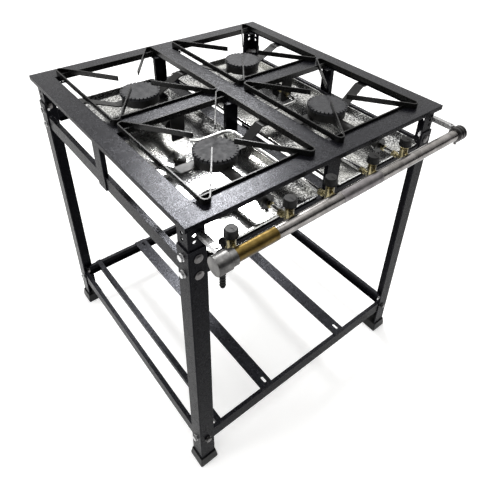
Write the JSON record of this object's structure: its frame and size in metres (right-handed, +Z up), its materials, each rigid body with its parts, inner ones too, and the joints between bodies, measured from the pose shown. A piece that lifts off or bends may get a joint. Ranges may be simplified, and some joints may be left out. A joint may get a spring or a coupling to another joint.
{
  "type": "four-burner gas range on a stand",
  "caption": "Tall bolted steel stand with an open square top, cast burners, pot grates, sliding drip trays and a gas manifold with valves along the front.",
  "frame": {"origin": "middle of the front left foot's sole, on the floor", "axes": "+Z up; +X to the right along the gas manifold, seen from the side with the valves; +Y to the back"},
  "size_m": [0.75, 0.834, 0.8533],
  "materials": {
    "hammertone": "hammered grey paint",
    "black_paint": "satin",
    "grate_enamel": "satin enamel",
    "burner_iron": "as cast",
    "cap_iron": "turned face",
    "tray_zinc": "galvanised, mirror-like",
    "zinc_steel": "zinc plated",
    "dark_steel": "oiled",
    "cast_aluminium": "as cast",
    "tube_aluminium": "drawn",
    "brass": "machined",
    "black_plastic": "moulded",
    "black_rubber": "moulded"
  },
  "bodies": {
    "stand": {"arm_screws": "zinc_steel", "burner_back_left": "burner_iron", "burner_back_right": "burner_iron", "burner_front_left": "burner_iron", "burner_front_right": "burner_iron", "burner_supports": "black_paint", "corner_brackets": "hammertone", "cross_rails": "hammertone", "end_cap": "dark_steel", "face_bolts": "dark_steel", "feed_tubes": "tube_aluminium", "feet": "black_plastic", "gas_fittings": "brass", "hose_barb": "black_rubber", "injector_plates": "black_paint", "inlet_elbow": "cast_aluminium", "leg_back_left": "hammertone", "leg_back_right": "hammertone", "leg_front_left": "hammertone", "leg_front_right": "hammertone", "manifold_arms": "zinc_steel", "manifold_pipe": "zinc_steel", "mid_posts": "hammertone", "outlet_plug": "black_plastic", "shelf_bars": "hammertone", "side_bolts": "zinc_steel", "stretcher_back": "hammertone", "stretcher_front": "hammertone", "stretcher_left": "hammertone", "stretcher_right": "hammertone", "top_rail_back": "hammertone", "top_rail_center": "hammertone", "top_rail_front": "hammertone", "top_rail_left": "hammertone", "top_rail_right": "hammertone", "tray_rail_back": "hammertone", "tray_rail_center": "hammertone", "tray_rail_front": "hammertone", "tray_rail_left": "hammertone", "tray_rail_right": "hammertone", "valve_bodies": "brass"},
    "knob_1": {"knob_1": "black_plastic"},
    "knob_2": {"knob_2": "black_plastic"},
    "knob_3": {"knob_3": "black_plastic"},
    "knob_4": {"knob_4": "black_plastic"},
    "knob_5": {"knob_5": "black_plastic"},
    "grate_front_left": {"grate_front_left": "grate_enamel"},
    "burner_cap_front_left": {"burner_cap_front_left": "cap_iron"},
    "air_shutter_front_left": {"air_shutter_front_left": "black_paint"},
    "grate_front_right": {"grate_front_right": "grate_enamel"},
    "burner_cap_front_right": {"burner_cap_front_right": "cap_iron"},
    "air_shutter_front_right": {"air_shutter_front_right": "black_paint"},
    "grate_back_left": {"grate_back_left": "grate_enamel"},
    "burner_cap_back_left": {"burner_cap_back_left": "cap_iron"},
    "air_shutter_back_left": {"air_shutter_back_left": "black_paint"},
    "grate_back_right": {"grate_back_right": "grate_enamel"},
    "burner_cap_back_right": {"burner_cap_back_right": "cap_iron"},
    "air_shutter_back_right": {"air_shutter_back_right": "black_paint"},
    "drip_tray_left": {"drip_tray_left": "tray_zinc"},
    "drip_tray_right": {"drip_tray_right": "tray_zinc"}
  },
  "joints": [
    {"name": "valve_1_turn", "type": "hinge", "parent": "stand", "child": "knob_1", "pos_m": [0.039, -0.068, 0.819], "axis": [0, 0, 1], "range_deg": [0, 90]},
    {"name": "valve_2_turn", "type": "hinge", "parent": "stand", "child": "knob_2", "pos_m": [0.175, -0.068, 0.819], "axis": [0, 0, 1], "range_deg": [0, 90]},
    {"name": "valve_3_turn", "type": "hinge", "parent": "stand", "child": "knob_3", "pos_m": [0.284, -0.068, 0.819], "axis": [0, 0, 1], "range_deg": [0, 90]},
    {"name": "valve_4_turn", "type": "hinge", "parent": "stand", "child": "knob_4", "pos_m": [0.412, -0.068, 0.819], "axis": [0, 0, 1], "range_deg": [0, 90]},
    {"name": "valve_5_turn", "type": "hinge", "parent": "stand", "child": "knob_5", "pos_m": [0.522, -0.068, 0.819], "axis": [0, 0, 1], "range_deg": [0, 90]},
    {"name": "grate_front_left_lift", "type": "slide", "parent": "stand", "child": "grate_front_left", "axis": [0, 0, 1], "range_m": [0, 0.06]},
    {"name": "burner_cap_front_left_lift", "type": "slide", "parent": "stand", "child": "burner_cap_front_left", "axis": [0, 0, 1], "range_m": [0, 0.018]},
    {"name": "air_shutter_front_left_turn", "type": "hinge", "parent": "stand", "child": "air_shutter_front_left", "pos_m": [0.175, -0.003, 0.785], "axis": [0, 1, 0], "range_deg": [0, 60]},
    {"name": "grate_front_right_lift", "type": "slide", "parent": "stand", "child": "grate_front_right", "axis": [0, 0, 1], "range_m": [0, 0.06]},
    {"name": "burner_cap_front_right_lift", "type": "slide", "parent": "stand", "child": "burner_cap_front_right", "axis": [0, 0, 1], "range_m": [0, 0.018]},
    {"name": "air_shutter_front_right_turn", "type": "hinge", "parent": "stand", "child": "air_shutter_front_right", "pos_m": [0.522, -0.003, 0.785], "axis": [0, 1, 0], "range_deg": [0, 60]},
    {"name": "grate_back_left_lift", "type": "slide", "parent": "stand", "child": "grate_back_left", "axis": [0, 0, 1], "range_m": [0, 0.06]},
    {"name": "burner_cap_back_left_lift", "type": "slide", "parent": "stand", "child": "burner_cap_back_left", "axis": [0, 0, 1], "range_m": [0, 0.018]},
    {"name": "air_shutter_back_left_turn", "type": "hinge", "parent": "stand", "child": "air_shutter_back_left", "pos_m": [0.18, 0.364, 0.785], "axis": [0, 1, 0], "range_deg": [0, 60]},
    {"name": "grate_back_right_lift", "type": "slide", "parent": "stand", "child": "grate_back_right", "axis": [0, 0, 1], "range_m": [0, 0.06]},
    {"name": "burner_cap_back_right_lift", "type": "slide", "parent": "stand", "child": "burner_cap_back_right", "axis": [0, 0, 1], "range_m": [0, 0.018]},
    {"name": "air_shutter_back_right_turn", "type": "hinge", "parent": "stand", "child": "air_shutter_back_right", "pos_m": [0.522, 0.364, 0.785], "axis": [0, 1, 0], "range_deg": [0, 60]},
    {"name": "drip_tray_left_slide", "type": "slide", "parent": "stand", "child": "drip_tray_left", "axis": [0, -1, 0], "range_m": [0, 0.35]},
    {"name": "drip_tray_right_slide", "type": "slide", "parent": "stand", "child": "drip_tray_right", "axis": [0, -1, 0], "range_m": [0, 0.35]}
  ]
}
